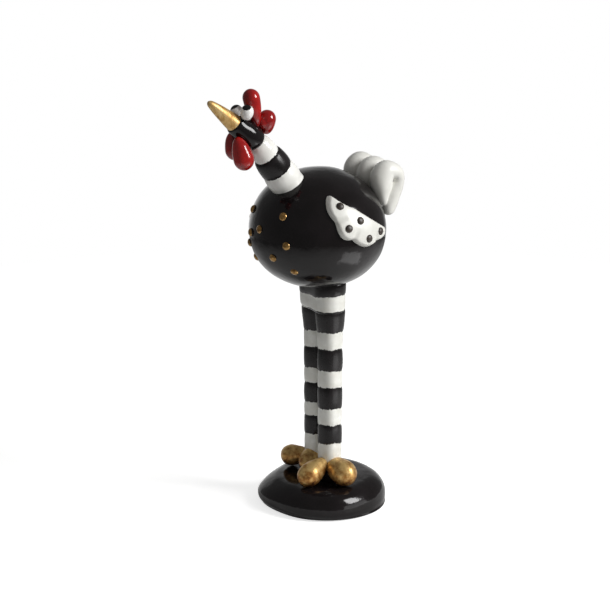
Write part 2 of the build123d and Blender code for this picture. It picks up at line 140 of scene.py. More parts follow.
# %% [markdown]
# ## Gold paint
# The toes, studs and beak wear gold lustre over brown clay: fine metal flakes in a varnish. It reflects
# like a metal but softly, and the brown shows through where the brush left little. The toes are dark and
# mottled, with painted shade that makes them browner towards the base and painted light that makes them
# brighter higher up. The beak is paler, with brush streaks that run along it, so its pattern is stretched
# along its own axis with a Mapping node.


# %% Make the gold paints
def gold_paint(name, bare, thin, full, grain_mm, roughness, lean_degrees=0.0, stretch=1.0, low_mm=0.0,
               high_mm=1.0, painted_shade_amount=0.0):
    """Gold lustre over brown clay, streaked along a leaning axis, with painted shade low down and painted
    light high up.
    """
    material = new_material(name)
    tree = material.node_tree
    place = add_node(tree, "ShaderNodeTexCoord").outputs["Object"]
    along = add_node(tree, "ShaderNodeMapping",
                     {"Vector": place, "Rotation": (math.radians(lean_degrees), 0, 0),
                      "Scale": (1.0, 1.0, stretch)})
    flakes = add_node(tree, "ShaderNodeTexNoise",
                      {"Vector": along.outputs["Vector"], "Scale": 1 / (grain_mm * MM), "Detail": 6.0,
                       "Roughness": 0.62})
    level = add_node(tree, "ShaderNodeSeparateXYZ", {"Vector": place})
    # painted light and shade: the gold darkens towards the low level and brightens towards the high one
    painted_shade_by_height = add_node(tree, "ShaderNodeMapRange",
                    {"Value": level.outputs["Z"], "From Min": low_mm * MM, "From Max": high_mm * MM,
                     "To Min": -painted_shade_amount, "To Max": painted_shade_amount})
    cover_and_painted_shade = add_node(tree, "ShaderNodeMath", {0: flakes.outputs["Fac"], 1: painted_shade_by_height.outputs["Result"]})
    tone = add_node(tree, "ShaderNodeValToRGB", {"Fac": cover_and_painted_shade.outputs["Value"]})
    tone.color_ramp.elements[0].position = 0.3
    tone.color_ramp.elements[0].color = linear(bare)
    tone.color_ramp.elements[1].position = 0.7
    tone.color_ramp.elements[1].color = linear(full)
    tone.color_ramp.elements.new(0.45).color = linear(thin)
    shine = add_node(tree, "ShaderNodeMapRange",
                     {"Value": flakes.outputs["Fac"], "To Min": roughness * 1.3, "To Max": roughness * 0.8})
    relief = add_node(tree, "ShaderNodeBump",
                      {"Height": flakes.outputs["Fac"], "Distance": 0.06 * MM, "Strength": 0.5})
    skin = add_node(tree, "ShaderNodeBsdfPrincipled",
                    {"Base Color": tone.outputs["Color"], "Roughness": shine.outputs["Result"],
                     "Normal": relief.outputs["Normal"], "Metallic": 0.65})
    add_node(tree, "ShaderNodeOutputMaterial", {"Surface": skin.outputs["BSDF"]})
    return material


HEAD_LEAN = 39.9
# the toes get painted shade towards the base and painted light higher up, between 17 and 29 mm
toe_gold = gold_paint("mottled_gold_lustre", "#4e2d12", "#9c6c34", "#dcb978", 3.4, 0.36,
                      low_mm=17.0, high_mm=29.0, painted_shade_amount=0.14)
stud_gold = gold_paint("thin_gold_lustre", "#4e331a", "#8a6634", "#bd9a60", 1.6, 0.24)
beak_gold = gold_paint("brushed_pale_gold_lustre", "#86602f", "#bf9759", "#dfc48e", 2.2, 0.46,
                       lean_degrees=90 - HEAD_LEAN, stretch=0.16)
print("gold paints:", toe_gold.name, stud_gold.name, beak_gold.name)

# %% [markdown]
# ## Cork and steel
# Under the pebble sits a pressed cork disc: tan granules of 1 to 3 mm with dark seams between them, which
# a Voronoi pattern gives. The leg rods and the neck's dowel are plain drawn steel, with fine lines along
# the draw. They are hidden inside, and still get their real finish.

# %% Make cork and steel
cork = new_material("pressed_cork")
tree = cork.node_tree
place = add_node(tree, "ShaderNodeTexCoord").outputs["Object"]
granules = add_node(tree, "ShaderNodeTexVoronoi", {"Vector": place, "Scale": 1 / (2.0 * MM)})
seams = add_node(tree, "ShaderNodeTexVoronoi", {"Vector": place, "Scale": 1 / (2.0 * MM)},
                 feature="DISTANCE_TO_EDGE")
shade = add_node(tree, "ShaderNodeSeparateColor", {"Color": granules.outputs["Color"]})
tone = add_node(tree, "ShaderNodeValToRGB", {"Fac": shade.outputs["Red"]})
tone.color_ramp.elements[0].color = linear("#7d5836")
tone.color_ramp.elements[1].color = linear("#b98d5e")
dip = add_node(tree, "ShaderNodeMapRange", {"Value": seams.outputs["Distance"], "From Max": 0.12})
relief = add_node(tree, "ShaderNodeBump", {"Height": dip.outputs["Result"], "Distance": 0.2 * MM})
skin = add_node(tree, "ShaderNodeBsdfPrincipled",
                {"Base Color": tone.outputs["Color"], "Normal": relief.outputs["Normal"], "Roughness": 0.85})
add_node(tree, "ShaderNodeOutputMaterial", {"Surface": skin.outputs["BSDF"]})

steel = new_material("drawn_steel")
tree = steel.node_tree
place = add_node(tree, "ShaderNodeTexCoord").outputs["Object"]
drawn = add_node(tree, "ShaderNodeMapping", {"Vector": place, "Scale": (1.0, 1.0, 0.02)})
lines = add_node(tree, "ShaderNodeTexNoise",
                 {"Vector": drawn.outputs["Vector"], "Scale": 1 / (0.3 * MM), "Detail": 3.0})
tone = add_node(tree, "ShaderNodeValToRGB", {"Fac": lines.outputs["Fac"]})
tone.color_ramp.elements[0].color = linear("#8f9092")
tone.color_ramp.elements[1].color = linear("#b4b5b7")
skin = add_node(tree, "ShaderNodeBsdfPrincipled",
                {"Base Color": tone.outputs["Color"], "Metallic": 1.0, "Roughness": 0.32})
add_node(tree, "ShaderNodeOutputMaterial", {"Surface": skin.outputs["BSDF"]})

for name in ("left_leg_rod", "right_leg_rod", "neck_dowel"):
    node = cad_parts[name]
    node.data.materials.clear()
    node.data.materials.append(steel)
print("steel on rods and dowel, cork ready")

# %% [markdown]
# ## Finishing a piece
# Every piece is modelled in millimetres in the solids' own frame. Finishing it closes its seams, turns its
# faces outwards, scales it to metres, shades it smooth, gives it its finishes, hangs it under the root and
# hides the solid that it stands for. Hand-pressed clay is never quite true, so another helper presses
# shallow dents into a skin. It only presses inwards, and the piece stays within its solid's size.

# %% Finishing helpers
WELD = 0.0005  # vertices closer than this are one


def put(bm, name, finishes):
    """Object in the scene that a bmesh in metres becomes, with its finishes."""
    mesh = bpy.data.meshes.new(name)
    bm.to_mesh(mesh)
    bm.free()
    for material in finishes:
        mesh.materials.append(material)
    piece = bpy.data.objects.new(name, mesh)
    bpy.context.scene.collection.objects.link(piece)
    return piece


def finish(bm, name, finishes, solid):
    """Turn a bmesh in millimetres into a piece that stands for one of the solids."""
    bmesh.ops.remove_doubles(bm, verts=bm.verts, dist=WELD)
    bmesh.ops.recalc_face_normals(bm, faces=bm.faces)
    bmesh.ops.scale(bm, vec=(MM, MM, MM), verts=bm.verts)
    piece = put(bm, name, finishes)
    piece.data.shade_smooth()
    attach(piece, "root")
    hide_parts(solid)
    print(name, "faces:", len(piece.data.polygons))
    return piece


def press(bm, grain, depth, seed, verts=None):
    """Shallow dents of a grain and a depth, pressed in along the skin's own directions."""
    bm.normal_update()
    shift = Vector((seed * 7.3, seed * 3.1, seed * 5.7))
    for vert in verts or bm.verts:
        vert.co += vert.normal * depth * (noise.noise(vert.co / grain + shift) - 1) / 2


print("vertices weld within", WELD, "mm")

# %% [markdown]
# ## The pebble base and its cork
# The base is a flat black pebble, thick enough to keep the tall bird from tipping. A short cylinder with a
# wide bevel above and a narrow one below gives its section. Inset rings on its top leave vertices there to
# press, so that the reflections roll as they do on hand-smoothed clay. Its outline isn't a true round
# either: a few broad swells and one flatter side, each with an angle and a spread, make it a pebble. Its
# shoulder slopes down more at the right front, and its lower edge stayed blunt at the left rear.


# %% Model the base
def around(angle, middle, spread):
    """How much of a swell that is centred at one angle is felt at another, in degrees."""
    return math.exp(-((((angle - middle) + 180) % 360 - 180) / spread) ** 2)


BASE_TOP, BASE_UNDERSIDE = 16.5, 0.5
HALF_WIDTH, HALF_DEPTH = 36.0, 36.5
SHOULDER, LOWER_EDGE = 11.0, 4.0  # how wide the upper and the lower edge are rounded
TOE_REACH, SHOULDER_DROP = 24.0, 5.5  # the shoulder drops outside the toes' reach
swells = ((-80, 26, -0.05), (-128, 22, 0.025), (55, 30, 0.02), (-15, 25, 0.01))
bm = bmesh.new()
bmesh.ops.create_cone(bm, cap_ends=True, segments=112, radius1=1.0, radius2=1.0,
                      depth=BASE_TOP - BASE_UNDERSIDE)
bmesh.ops.scale(bm, vec=(HALF_WIDTH, HALF_DEPTH, 1.0), verts=bm.verts)
bmesh.ops.translate(bm, vec=(0, 0, (BASE_TOP + BASE_UNDERSIDE) / 2), verts=bm.verts)
for level, width, steps in ((BASE_TOP, SHOULDER, 14), (BASE_UNDERSIDE, LOWER_EDGE, 7)):
    rim = [e for e in bm.edges if all(abs(v.co.z - level) < 0.01 for v in e.verts)]
    bmesh.ops.bevel(bm, geom=rim, offset=width, segments=steps, profile=0.5, affect="EDGES", material=-1)
for level in (BASE_TOP, BASE_UNDERSIDE):
    cap = [f for f in bm.faces if all(abs(v.co.z - level) < 0.01 for v in f.verts)]
    for ring in range(4):
        bmesh.ops.inset_region(bm, faces=cap, thickness=5.0, use_even_offset=True)
for vert in bm.verts:
    angle = math.degrees(math.atan2(vert.co.y, vert.co.x))
    reach = vert.co.xy.length
    swell = 1 + sum(change * around(angle, middle, spread) for middle, spread, change in swells)
    if vert.co.z < BASE_UNDERSIDE + LOWER_EDGE + 0.1 and reach > HALF_WIDTH - LOWER_EDGE - 1.0:
        swell += 0.95 * around(angle, 32, 50) * (HALF_WIDTH + 0.4 - reach) / reach
    outer = max(0.0, (reach - TOE_REACH) / (HALF_WIDTH - TOE_REACH))
    upper = max(0.0, 1 - (BASE_TOP - vert.co.z) / SHOULDER)
    vert.co.z -= SHOULDER_DROP * around(angle, -125, 45) * outer * upper
    vert.co.x *= swell
    vert.co.y *= swell
above = [v for v in bm.verts if v.co.z > 1.0]
press(bm, grain=22.0, depth=0.8, seed=1, verts=above)
press(bm, grain=11.0, depth=0.5, seed=4, verts=above)
finish(bm, "pebble_base", [black_glaze], "base_stone")

CORK_RADIUS, CORK_THICKNESS = 25.0, 1.5
bm = bmesh.new()
bmesh.ops.create_cone(bm, cap_ends=True, segments=80, radius1=CORK_RADIUS, radius2=CORK_RADIUS,
                      depth=CORK_THICKNESS)
bmesh.ops.translate(bm, vec=(0, 0, CORK_THICKNESS / 2), verts=bm.verts)
rim = [e for e in bm.edges if abs(e.verts[0].co.z - e.verts[1].co.z) < 0.01]
bmesh.ops.bevel(bm, geom=rim, offset=0.25, segments=3, profile=0.5, affect="EDGES", material=-1)
finish(bm, "cork_disc", [cork], "cork_pad")

# %% [markdown]
# ## The striped legs
# Each leg is a clay tube over a steel rod, pinched a little square by the fingers and painted in bands.
# A line of points gives its section, with a slight swell for each band, and a full spin turns it. The
# black coats are thicker, so black bands stand a little proud. Then the edges between bands are moved up
# and down round the leg: the paint's wandering edge is in the mesh itself, and each face takes the colour
# of its band. The two legs were painted freely, so each has its own list of band edges, and all bands
# slant up a little towards the side that was painted first.


# %% Turning and brushing helpers
def turned(points, steps):
    """Bmesh of a line of points, each a radius and a height, that is spun all the way round."""
    bm = bmesh.new()
    line = [bm.verts.new((radius, 0, height)) for radius, height in points]
    links = [bm.edges.new(pair) for pair in zip(line, line[1:])]
    bmesh.ops.spin(bm, geom=line + links, axis=(0, 0, 1), cent=(0, 0, 0), angle=math.tau, steps=steps,
                   use_merge=True)
    bmesh.ops.remove_doubles(bm, verts=bm.verts, dist=WELD)
    return bm


def wander(angle, seed, size):
    """How far a brushed edge strays at an angle round a piece."""
    ring = Vector((math.cos(angle), math.sin(angle), 0))
    slow = noise.noise(ring * 1.3 + Vector((0, 0, seed * 4.7)))
    quick = noise.noise(ring * 5.0 + Vector((0, 0, seed * 9.1)))
    ragged = noise.noise(ring * 13.0 + Vector((0, 0, seed * 2.3)))
    return size * (slow + 0.8 * quick + 1.1 * ragged)


print("a brushed edge strays at the front by", round(wander(-math.pi / 2, 1, 0.6), 2), "mm")

# %% Model the legs
LEG_LINE = Matrix.Rotation(math.radians(-5.0), 3, "Z")
LEG_SPACING = 16.4
PINCHED_SIDE = math.radians(-33)  # the bird's left front, where each pinched leg has an edge
ANKLE_WIDTH, LEG_LENGTH = 12.1, 98.8  # a leg gains a millimetre along its length
FLARE_FOOT, FLARE_HEIGHT, FLARE_WIDTH = 93.3, 22.0, 2.7
SUNK, INTO_HIPS = 0.4, 3.0  # legs and toes reach a little into the base's dented skin
band_edges = {
    1: (BASE_TOP, 25.8, 37.1, 48.3, 58.5, 70.6, 80.9, 93.2, 103.6, 115.7),
    -1: (BASE_TOP, 26.0, 37.9, 49.3, 57.9, 68.9, 78.3, 90.3, 100.5, 114.8),
}


def leg_radius(height):
    """Radius of a leg at a height: a slow taper, then a flare to the hips."""
    rise = max(0.0, height - FLARE_FOOT) / FLARE_HEIGHT
    return (ANKLE_WIDTH + (height - BASE_TOP) / LEG_LENGTH + FLARE_WIDTH * rise ** 2) / 2


def leg_section(edges):
    """Points of a leg's section from its foot up: radius and height, with a swell in each band."""
    points = [(0.0, edges[0] - SUNK), (leg_radius(edges[0]), edges[0] - SUNK)]
    for number, (low, high) in enumerate(zip(edges, edges[1:])):
        proud = 0.12 if number % 2 == 0 else 0.0
        for share, swell in ((0.035, -0.05), (0.1, 0.12), (0.3, 0.22), (0.5, 0.26), (0.7, 0.22),
                             (0.9, 0.12), (0.965, -0.05)):
            height = low + share * (high - low)
            points.append((leg_radius(height) + swell + proud, height))
    top = edges[-1] + INTO_HIPS
    return points + [(leg_radius(edges[-1]) - 0.3, top), (0.0, top)]


for side, name in ((1, "left"), (-1, "right")):
    foot = LEG_LINE @ Vector((side * LEG_SPACING / 2, 0, 0)) + Vector((0.4, 0.6, 0))
    edges = band_edges[side]
    painted = edges[1:-1] if side == 1 else edges[1:]
    bm = turned(leg_section(edges), 120)
    for face in bm.faces:
        middle = face.calc_center_median().z
        band = sum(middle > edge for edge in painted)
        face.material_index = 0 if band % 2 == 0 else 1
    for vert in bm.verts:
        angle = math.atan2(vert.co.y, vert.co.x)
        square = 1 + 0.035 * math.cos(4 * (angle - PINCHED_SIDE))
        near = min(range(1, len(edges)), key=lambda n: abs(edges[n] - vert.co.z))
        pull = max(0.0, 1 - abs(edges[near] - vert.co.z) / 3.0)
        vert.co.x *= square
        vert.co.y *= square
        free = max(0.0, min(1.0, (vert.co.z - edges[0]) / 8, (edges[-1] - vert.co.z) / 8))
        vert.co.z += pull * wander(angle, near + 20 * side, 0.6)
        vert.co.z += free * 1.2 * math.cos(angle - PINCHED_SIDE)
    press(bm, grain=7.0, depth=0.35, seed=2 + side)
    bmesh.ops.translate(bm, vec=foot, verts=bm.verts)
    finish(bm, f"{name}_striped_leg", [black_band_glaze, white_band_glaze], f"{name}_leg")

# %% [markdown]
# ## The hips
# A single block joins both legs and carries the ball. Its section is a long round: a turned ring whose two
# halves are pulled apart to the legs' spacing. The faces that stretch between the halves are divided, so
# that the painted edges can wander there too. The legs' upper black band runs a little way up its foot,
# then comes a white band, and the collar is black. The collar's edge slants down towards the right leg.

# %% Model the hips
FOOT_EDGE, COLLAR_EDGE = 116.9, 124.0
hip_section = ((0.0, 115.4), (7.8, 115.4), (8.05, 115.7), (8.22, 116.0), (8.34, 116.3), (8.42, 116.6),
               (8.46, FOOT_EDGE), (8.6, 118.0), (8.7, 120.0), (8.75, 122.0), (8.72, COLLAR_EDGE),
               (8.95, COLLAR_EDGE + 0.7), (9.05, 125.8), (9.15, 128.0), (9.2, 131.0), (9.2, 134.0),
               (0.0, 134.0))
HIP_STEPS = 72
bm = turned(hip_section, HIP_STEPS)
half_step = Matrix.Rotation(math.tau / HIP_STEPS / 2, 3, "Z")  # no vertex is left on the parting line
bmesh.ops.rotate(bm, cent=(0, 0, 0), matrix=half_step, verts=bm.verts)
for side in (1, -1):
    half = [v for v in bm.verts if v.co.x * side > 0.001]
    bmesh.ops.translate(bm, vec=(side * LEG_SPACING / 2, 0, 0), verts=half)
stretched = [e for e in bm.edges if abs(e.verts[0].co.x - e.verts[1].co.x) > LEG_SPACING * 0.9]
bmesh.ops.subdivide_edges(bm, edges=stretched, cuts=14, use_grid_fill=True)
for face in bm.faces:
    middle = face.calc_center_median()
    low_paint = middle.z < FOOT_EDGE - 0.2 * max(0.0, 2.0 - middle.x)
    face.material_index = 0 if low_paint or middle.z > COLLAR_EDGE else 1
for vert in bm.verts:
    collar = max(0.0, 1 - abs(vert.co.z - COLLAR_EDGE) / 4.0)
    foot = max(0.0, 1 - abs(vert.co.z - FOOT_EDGE) / 1.2)
    stray = noise.noise(Vector((vert.co.x / 9.0, vert.co.y / 9.0, 3.3)))
    ragged = noise.noise(Vector((vert.co.x / 1.6, vert.co.y / 1.6, 6.1)))
    vert.co.z += collar * (0.115 * vert.co.x + 1.1 * stray + 0.7 * ragged) + foot * 0.5 * ragged
press(bm, grain=8.0, depth=0.3, seed=5)
bmesh.ops.rotate(bm, cent=(0, 0, 0), matrix=LEG_LINE, verts=bm.verts)
bmesh.ops.translate(bm, vec=(0.1, 0.2, 0), verts=bm.verts)
finish(bm, "banded_hips", [black_glaze, white_band_glaze], "hip_yoke")

# %% [markdown]
# ## Eggs
# Toes, eyes, comb and wattles are all rolled clay eggs, blunt at one end and fine at the other. A ball
# gives them all: its upper half is stretched to the blunt length and its lower half to the fine one, which
# a taper can draw out to a drop. One matrix then leans it along its axis and sets it in place.


# %% Egg helpers
def leaned(direction, place):
    """Matrix that leans an upright shape along a direction and sets it in its place."""
    return Matrix.Translation(place) @ Vector((0, 0, 1)).rotation_difference(direction).to_matrix().to_4x4()


def egg(bm, middle, axis, width, blunt, fine, taper=0.0, grain=6.0, dents=0.25, seed=0):
    """Rolled egg in millimetres, its blunt end along an axis, its fine end drawn out by a taper."""
    ball = bmesh.ops.create_uvsphere(bm, u_segments=56, v_segments=40, radius=1.0)["verts"]
    for vert in ball:
        narrow = 1 - taper * max(0.0, -vert.co.z)
        vert.co.x *= narrow * width / 2
        vert.co.y *= narrow * width / 2
    bmesh.ops.scale(bm, vec=(1, 1, blunt), verts=[v for v in ball if v.co.z > 0])
    bmesh.ops.scale(bm, vec=(1, 1, fine), verts=[v for v in ball if v.co.z < 0])
    press(bm, grain, dents, seed, ball)
    bmesh.ops.transform(bm, matrix=leaned(axis, middle), verts=ball)


print("egg helpers ready")

# %% [markdown]
# ## The gold toes
# Two eggs lie before each leg, fine end against the ankle, their undersides flattened where they were
# pressed onto the base. Each leans down from the ankle. A cut at the base's level makes the flat.

# %% Model the toes
TOE_SQUASH = 0.65  # how far an egg was pressed flat
toes = (
    ("left_outer_toe", 1, 93.0, 14.8, 10.0, 15.2, 8.0, 14.4, 0.04),
    ("left_inner_toe", 1, 18.0, 16.4, 17.0, 14.0, 8.6, 16.4, 0.2),
    ("right_outer_toe", -1, -55.0, 14.2, 12.0, 13.0, 7.2, 13.0, 0.25),
    ("right_inner_toe", -1, 28.0, 6.2, 45.0, 13.4, 7.2, 10.0, 0.2),
)
for seed, (solid, side, turn, reach, lean, width, blunt, fine, taper) in enumerate(toes):
    turn, lean = math.radians(turn), math.radians(lean)
    ahead = Vector((math.sin(turn), -math.cos(turn), 0))
    axis = ahead * math.cos(lean) - Vector((0, 0, math.sin(lean)))
    depth = math.hypot(width / 2 * math.cos(lean), blunt * math.sin(lean))
    foot = LEG_LINE @ Vector((side * LEG_SPACING / 2, 0, 0))
    middle = foot + ahead * reach + Vector((0, 0, BASE_TOP + depth - TOE_SQUASH))
    bm = bmesh.new()
    egg(bm, middle, axis, width, blunt, fine, taper=taper, grain=5.0, dents=0.6, seed=10 + seed)
    bmesh.ops.bisect_plane(bm, geom=bm.verts[:] + bm.edges[:] + bm.faces[:],
                           plane_co=(0, 0, BASE_TOP - SUNK), plane_no=(0, 0, 1), clear_inner=True)
    bmesh.ops.holes_fill(bm, edges=bm.edges)
    finish(bm, "gilded_" + solid, [toe_gold], solid)

# %% [markdown]
# ## The round body
# The body is a hollow ball, taller above its widest level than below it, and fuller low down than a plain
# oval, as a ball of soft clay settles. A ball is stretched to those sizes, its lower half is filled out
# along a rounder curve, and slow dents keep its black gloss from looking machine-made. It starts half a
# millimetre fuller, which the dents take back.

# %% Model the body
BODY_MIDDLE = Vector((0, -3.0, 161.6))
BODY_RADIUS, BODY_RISE, BODY_DROP = 38.0, 34.2, 32.3
FULLNESS = 2.16  # 2 is a plain oval
bm = bmesh.new()
ball = bmesh.ops.create_uvsphere(bm, u_segments=128, v_segments=88, radius=1.0)["verts"]
for vert in [v for v in ball if -0.999 < v.co.z < 0]:
    depth = abs(vert.co.z)
    fuller = (1 - depth ** FULLNESS) ** (1 / FULLNESS) / math.sqrt(1 - depth ** 2)
    vert.co.x *= fuller
    vert.co.y *= fuller
full = BODY_RADIUS + 0.5
bmesh.ops.scale(bm, vec=(full, full, BODY_RISE + 0.3), verts=[v for v in ball if v.co.z > 0])
bmesh.ops.scale(bm, vec=(full, full, BODY_DROP + 0.3), verts=[v for v in ball if v.co.z <= 0])
press(bm, grain=26.0, depth=0.45, seed=7)
press(bm, grain=11.0, depth=0.45, seed=9)
bmesh.ops.translate(bm, vec=BODY_MIDDLE, verts=bm.verts)
finish(bm, "glazed_ball_body", [black_glaze], "body_shell")

# %% [markdown]
# ## Places on the body
# Studs and wings follow the body's skin, so they need a point on it and its outward direction there. A
# line shot at the oval ball gives the point, and the ball's formula gives the direction.


# %% Helpers for the body's skin
def half_height(height):
    """Height of the body's upper or lower half, whichever a height lies in."""
    return BODY_RISE if height >= BODY_MIDDLE.z else BODY_DROP


def outward(point):
    """Direction straight out of the body's skin."""
    arm = point - BODY_MIDDLE
    tall = half_height(point.z)
    return Vector((arm.x / BODY_RADIUS ** 2, arm.y / BODY_RADIUS ** 2, arm.z / tall ** 2)).normalized()


def on_body(turn, latitude):
    """Point of the skin by turn from the beak towards the left wing and by height angle."""
    turn, latitude = math.radians(turn), math.radians(latitude)
    across = BODY_RADIUS * math.cos(latitude)
    rise = (BODY_RISE if latitude >= 0 else BODY_DROP) * math.sin(latitude)
    return BODY_MIDDLE + Vector((across * math.sin(turn), -across * math.cos(turn), rise))


def reach_body(point, direction, stand):
    """Where a line first meets the body's skin, grown by a stand."""
    for half in (BODY_RISE, BODY_DROP):
        shrink = Matrix.Diagonal((1 / (BODY_RADIUS + stand), 1 / (BODY_RADIUS + stand), 1 / (half + stand)))
        start, run = shrink @ (point - BODY_MIDDLE), shrink @ direction
        along, length = start.dot(run), run.length_squared
        travel = (-along - math.sqrt(along ** 2 - length * (start.length_squared - 1))) / length
        meeting = point + direction * travel
        if half == half_height(meeting.z):
            break
    return meeting


def dome(bm, place, direction, width, height, bare, seed):
    """Low stud pressed onto a skin; its faces below the bare height take the second finish, a dark foot that
    on the breast is partly painted shade.
    """
    ball = bmesh.ops.create_uvsphere(bm, u_segments=28, v_segments=20, radius=1.0)["verts"]
    bmesh.ops.scale(bm, vec=(width / 2, width / 2, height), verts=ball)
    for face in {f for v in ball for f in v.link_faces}:
        face.material_index = 1 if face.calc_center_median().z < bare else 0
    press(bm, grain=2.5, depth=0.16, seed=seed, verts=ball)
    bmesh.ops.transform(bm, matrix=leaned(direction, place), verts=ball)


print("top of the skin at", round(on_body(0, 90).z, 1), "mm")

# %% [markdown]
# ## The breast studs
# Small beads of clay are pressed into the breast and touched with gold. Each is a low dome that leans with
# the skin below it, and its lower half is sunk in the body. Its lowest faces stay black and the gold begins
# a little above the skin: partly the body's black glaze, which runs up round its foot, and partly painted
# shade where the stud meets the skin.

# %% Model the breast studs
breast_studs = ((25, 24), (-23, 21), (1, 8), (31, -2), (-15, 1), (-50, 6), (16, -17), (-27, -13), (35, -30),
                (-22, -27), (-45, -20))
bm = bmesh.new()
for seed, (turn, latitude) in enumerate(breast_studs):
    place = on_body(turn, latitude)
    # below the bare height the faces stay black: glaze run up round the foot, and painted shade where stud
    # meets skin
    dome(bm, place, outward(place), width=5.0, height=1.9, bare=0.6, seed=30 + seed)
finish(bm, "gilded_breast_studs", [stud_gold, black_glaze], "breast_studs")

# %% [markdown]
# ## The wings
# A wing is a slab of white clay cut with three scallops below and one sweeping edge above, then laid on the
# body. Curves through the outline's points give its two long edges. Bridging them and dividing the bridge
# gives a grid of faces. Each vertex is then dropped onto the body and raised by the slab's thickness, less
# near the rim so that the edge is rounded over, and less along the lines pressed in from each notch.

# %% Shape of a wing
WING_THICKNESS, EDGE_ROUNDING = 2.8, 1.5
GROOVE_DEPTH, GROOVE_WIDTH = 1.1, 1.3
wing_middle = on_body(92.0, 18.0)
WING_OUT = outward(wing_middle)
WING_ACROSS = Vector((0, 0, 1)).cross(WING_OUT).normalized()
WING_UP = WING_OUT.cross(WING_ACROSS)
upper_tip, rear_tip = Vector((-9.6, 16.9, 0)), Vector((21.0, -4.4, 0))
bump = Vector((0.2, 8.3, 0))
front_notch, middle_notch = Vector((-12.1, 2.3, 0)), Vector((-4.1, -8.6, 0))
rear_notch = Vector((13.0, -11.3, 0))
top_edge = ((upper_tip, Vector((-5.1, 11.6, 0)), bump), (bump, Vector((10.2, 0.9, 0)), rear_tip))
scallops = (
    (upper_tip, Vector((-10.6, 17.2, 0)), Vector((-11.3, 16.5, 0))),
    (Vector((-11.3, 16.5, 0)), Vector((-14.1, 9.6, 0)), front_notch),
    (front_notch, Vector((-10.1, -6.2, 0)), middle_notch),
    (middle_notch, Vector((4.6, -13.5, 0)), rear_notch),
    (rear_notch, Vector((20.4, -9.2, 0)), rear_tip),
)
grooves = (
    (front_notch, Vector((-5.8, 3.6, 0))),
    (middle_notch, Vector((0.0, -3.6, 0))),
    (rear_notch, Vector((11.0, -5.6, 0))),
)


def edge_points(arcs, count):
    """Evenly spaced points along curves that each pass through a middle point."""
    dense = []
    for start, through, end in arcs:
        handle = through * 2 - (start + end) / 2
        first, second = start.lerp(handle, 2 / 3), end.lerp(handle, 2 / 3)
        curve = geometry.interpolate_bezier(start, first, second, end, 60)
        dense += curve if not dense else curve[1:]
    lengths = [0.0]
    for here, there in zip(dense, dense[1:]):
        lengths.append(lengths[-1] + (there - here).length)
    points = []
    for number in range(count):
        wanted = lengths[-1] * number / (count - 1)
        step = max(n for n in range(len(lengths) - 1) if lengths[n] <= wanted + 1e-9)
        share = (wanted - lengths[step]) / (lengths[step + 1] - lengths[step])
        points.append(dense[step].lerp(dense[step + 1], share))
    return points


def on_wing(across, rise, stand):
    """Point over the body's skin by a stand, for a place in the plane of the wing's outline."""
    above = wing_middle + WING_ACROSS * across + WING_UP * rise + WING_OUT * BODY_RADIUS
    return reach_body(above, -WING_OUT, stand)


def distance_to(point, path):
    """Distance from a point to a path of straight steps."""
    nearest = []
    for start, end in zip(path, path[1:]):
        share = geometry.intersect_point_line(point, start, end)[1]
        nearest.append((point - start.lerp(end, min(max(share, 0), 1))).length)
    return min(nearest)


COLUMNS, ROWS = 90, 22
upper_points, lower_points = edge_points(top_edge, COLUMNS), edge_points(scallops, COLUMNS)
print("wing edges in mm:", round(sum((a - b).length for a, b in zip(upper_points, upper_points[1:])), 1),
      round(sum((a - b).length for a, b in zip(lower_points, lower_points[1:])), 1))

# %% Model the wings
for side, name in ((1, "left"), (-1, "right")):
    bm = bmesh.new()
    chains = []
    for points in (upper_points, lower_points):
        chain = [bm.verts.new(point) for point in points]
        chains.append([bm.edges.new(pair) for pair in zip(chain, chain[1:])])
    bmesh.ops.bridge_loops(bm, edges=chains[0] + chains[1])
    rungs = [e for e in bm.edges if e not in set(chains[0] + chains[1])]
    bmesh.ops.subdivide_edges(bm, edges=rungs, cuts=ROWS, use_grid_fill=True)
    bmesh.ops.remove_doubles(bm, verts=bm.verts, dist=0.01)
    outline = upper_points + lower_points[::-1]
    rim = {v for e in bm.edges if e.is_boundary for v in e.verts}
    for vert in bm.verts:
        inside = 0.0 if vert in rim else distance_to(vert.co, outline)
        rounded = 1 - max(0.0, 1 - inside / EDGE_ROUNDING) ** 2.6
        pressed = 0.0
        for notch, end in grooves:
            fading = max(0.0, 1 - (vert.co - notch).length / (end - notch).length)
            beside = distance_to(vert.co, (notch, end)) / GROOVE_WIDTH
            pressed += GROOVE_DEPTH * fading * math.exp(-beside ** 2)
        stand = -0.3 if vert in rim else WING_THICKNESS * (0.35 + 0.65 * rounded) - pressed * rounded
        vert.co = on_wing(vert.co.x, vert.co.y, stand)
    skirt = bmesh.ops.extrude_edge_only(bm, edges=[e for e in bm.edges if e.is_boundary])
    lowered = [g for g in skirt["geom"] if isinstance(g, bmesh.types.BMVert)]
    bmesh.ops.translate(bm, vec=WING_OUT * -1.5, verts=lowered)  # the skirt is sunk in the body
    bmesh.ops.holes_fill(bm, edges=[e for e in bm.edges if e.is_boundary])
    bmesh.ops.scale(bm, vec=(side, 1, 1), verts=bm.verts)
    finish(bm, f"{name}_scalloped_wing", [ivory_glaze], f"{name}_wing")

# %% [markdown]
# ## The wing studs
# Five dark beads dot each wing. They are flatter than those of the breast, sit on the slab and lean with
# it. Their glaze covers them whole, so no face stays bare.

